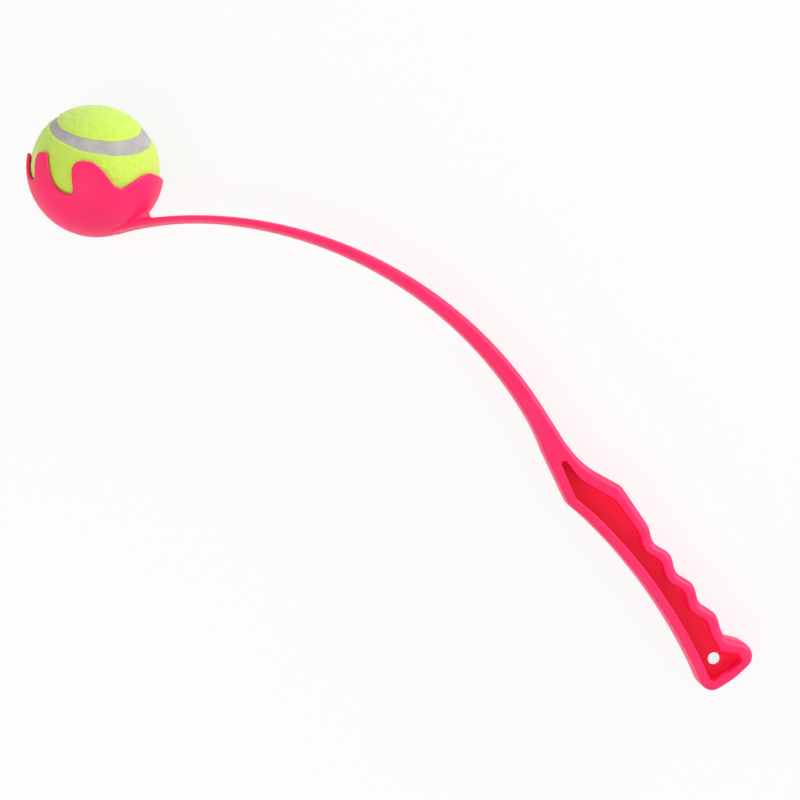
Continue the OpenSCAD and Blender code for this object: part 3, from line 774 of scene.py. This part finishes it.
def woolly(directions, waves, finest, coarsest, seed):  # sum of sine waves in random directions, about -1 to 1
    draw = np.random.default_rng(seed)
    ways = unit(draw.normal(size=(waves, 3))) * draw.uniform(coarsest, finest, (waves, 1))
    shift = draw.uniform(0, 2 * np.pi, waves)
    return np.sin(directions @ ways.T + shift).sum(-1) / np.sqrt(waves)


def seamMargin(along, across, spin):
    # half the seam's width beside a place of a panel, as an angle: wider to one way, a little ragged
    directions = panelDirections(along, across) @ spin.T
    ragged = ball["ragged"] * woolly(directions, *ball["raggedWaves"])
    return seamHalf * (1 + ball["wideShare"] * directions @ wideWay + ragged)


def feltGrid(spin):
    # outside of a panel, round at its edge and woolly, closed by its glued inside
    share = (np.sin(np.linspace(-1, 1, ball["lengthSteps"]) * ball["rowTurn"]) / np.sin(ball["rowTurn"]))[:, None]
    tip = panelEnd(seamHalf) * np.sign(share)
    end = panelEnd(seamMargin(tip, 0.0 * tip, spin))
    along = end * share
    width = np.sin(np.linspace(-1, 1, ball["widthSteps"]) * np.pi / 2)[None]
    even = panelHalfWidth(np.clip(along, -panelEnd(seamHalf), panelEnd(seamHalf)), seamHalf)
    half = panelHalfWidth(along, seamMargin(along, even * np.sign(width), spin))
    half = np.maximum(half, ball["leastHalf"] * np.sqrt(1 - share ** 2)) * (np.abs(share) < 1)
    directions = panelDirections(along, half * width)
    inset = np.minimum(half * (1 - np.abs(width)), end - np.abs(along)) * ball["radius"]
    near = np.clip(1 - inset / ball["edgeRound"], 0, 1)
    lumps = ball["lump"] * woolly(directions @ spin.T, *ball["lumpWaves"])
    wool = lumps + ball["nap"] * woolly(directions @ spin.T, *ball["napWaves"])
    radius = ball["radius"] - ball["lump"] - ball["edgeDrop"] * (1 - np.sqrt(1 - near ** 2)) + wool * (1 - near)
    return np.concatenate([directions * radius[..., None], directions[:, ::-1] * feltInside], 1) @ spin.T


def seamGrid():
    # a band along the seam's closed line, a little hollow, its edges under the felt
    along = panelEnd(0.0) * np.sin(np.linspace(-1, 1, ball["lengthSteps"]) * np.pi / 2)
    right = panelDirections(along, panelHalfWidth(along, 0.0))
    line = np.vstack([right, right[-2:0:-1] * [-1, 1, 1]])
    line = unit(softened(resampled(line, line, ball["seamSteps"])[:, :3]))
    run = unit(np.roll(line, -1, axis=0) - np.roll(line, 1, axis=0))
    sideways = np.cross(line, run)
    across = np.linspace(-1, 1, ball["bandSteps"])
    spread = np.tan(across * seamHalf * ball["bandShare"])[None, :, None]
    directions = unit(line[:, None] + spread * sideways[:, None])
    hollow = ball["seamHollow"] * (1 - across ** 2)[None]
    wool = ball["seamNap"] * woolly(directions, *ball["seamWaves"])
    radius = ball["radius"] - ball["seamSink"] + ball["glueGap"] - hollow + wool
    return np.concatenate([directions * radius[..., None], directions[:, ::-1] * feltInside], 1)


for word, node, spin in (("a", "felt_panel_a", np.eye(3)), ("b", "felt_panel_b", otherPanel)):
    panel = makePiece("feltPanel." + word, [(balled(feltGrid(spin)), False, True)], ballFelt)
    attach(panel, "ball")
    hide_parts(node)
seamPiece = makePiece("ballSeam", [(balled(seamGrid()), True, True)], seamRubber)
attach(seamPiece, "ball")
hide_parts("ball_seam")

# Finishes of the solids that stay
# the web is painted with the recess's shade
for node, material in (("handle_web", recessShadePlastic), ("ball_core_front", coreRubber),
                       ("ball_core_back", coreRubber)):
    mesh = frame["nodes"][node].data
    mesh.materials.clear()
    mesh.materials.append(material)
print("pieces in place")

# Camera: square to the stick's own plane, which the photograph comes close to
photo = {"middle": (203.3, 43.5), "distance": 819.0, "right": (-0.622, -0.783), "lens": 72.0, "sensor": 36.0}


def placed(*columns):  # matrix of an object's right, up, back and place
    return Matrix(np.vstack([np.column_stack(columns), [0, 0, 0, 1]]))


camera = newObject("camera", bpy.data.cameras.new("camera"))
camera.data.lens = photo["lens"]
camera.data.sensor_width = photo["sensor"]
cameraRight = stickTurn @ np.array([*photo["right"], 0.0])
cameraUp = np.cross(stickZ, cameraRight)
cameraAt = laid(np.array([*photo["middle"], photo["distance"]]))
camera.matrix_world = placed(cameraRight, cameraUp, stickZ, cameraAt)
bpy.context.scene.camera = camera

# Studio: soft lamps, each by its way to the picture's right, up and towards the viewer, its size and its power,
# and a white floor
studio = {"key": (1.0, 0.75, 0.35, 0.7, 15.5), "fill": (-0.6, -0.6, 0.9, 1.2, 4.6), "world": 0.67, "floor": 6.0,
          "floorColour": 0.9, "floorRough": 0.9, "floorShine": 0.1, "floorGlow": 0.84}
lookAt = laid(np.array([*photo["middle"], 0.0]))
for name in ("key", "fill"):
    right, up, towards, size, power = studio[name]
    lampAt = lookAt + right * cameraRight + up * cameraUp + towards * stickZ
    lamp = newObject(name, bpy.data.lights.new(name, "AREA"))
    lamp.data.shape = "DISK"
    lamp.data.size = size
    lamp.data.energy = power
    back = unit(lampAt - lookAt)
    across = unit(np.cross(cameraUp, back))
    lamp.matrix_world = placed(across, np.cross(back, across), back, lampAt)


def seenDirectly(tree):  # 1 for what the camera sees, also in gloss and through glass
    path = tree.nodes.new("ShaderNodeLightPath")
    direct, glossy, through = (Wire(tree, path.outputs[key])
                               for key in ("Is Camera Ray", "Is Glossy Ray", "Is Transmission Ray"))
    return direct.maths("MAXIMUM", direct.maths("MAXIMUM", direct, glossy), through)


world = bpy.data.worlds.new("studio")
world.use_nodes = True
bpy.context.scene.world = world
seen = seenDirectly(world.node_tree)
feed(world.node_tree.nodes["Background"], Color=seen.colours(grey(studio["world"]), grey(1.0)))

floorMaterial = bpy.data.materials.new("paleFloor")
floorMaterial.use_nodes = True
floorTree = floorMaterial.node_tree
floorShader = floorTree.nodes["Principled BSDF"]
feed(floorShader, Base_Color=grey(studio["floorColour"]), Roughness=studio["floorRough"],
     Specular_IOR_Level=studio["floorShine"])
glow = seenDirectly(floorTree)
white = glow.node("ShaderNodeEmission", {}, {"Color": grey(1.0), "Strength": 1.0})
blended = glow.node("ShaderNodeMixShader", {}, {0: glow * studio["floorGlow"],
                                                1: Wire(floorTree, floorShader.outputs[0]), 2: white})
floorTree.links.new(blended.socket, floorTree.nodes["Material Output"].inputs["Surface"])
floorMesh = bpy.data.meshes.new("floor")
floorReach = studio["floor"]
floorMesh.from_pydata([(-floorReach, -floorReach, 0), (floorReach, -floorReach, 0), (floorReach, floorReach, 0),
                       (-floorReach, floorReach, 0)], [], [(0, 1, 2, 3)])
floorMesh.materials.append(floorMaterial)
floorPiece = newObject("floor", floorMesh)

bpy.context.scene.view_settings.view_transform = "Standard"
print("camera, lamps and floor set")
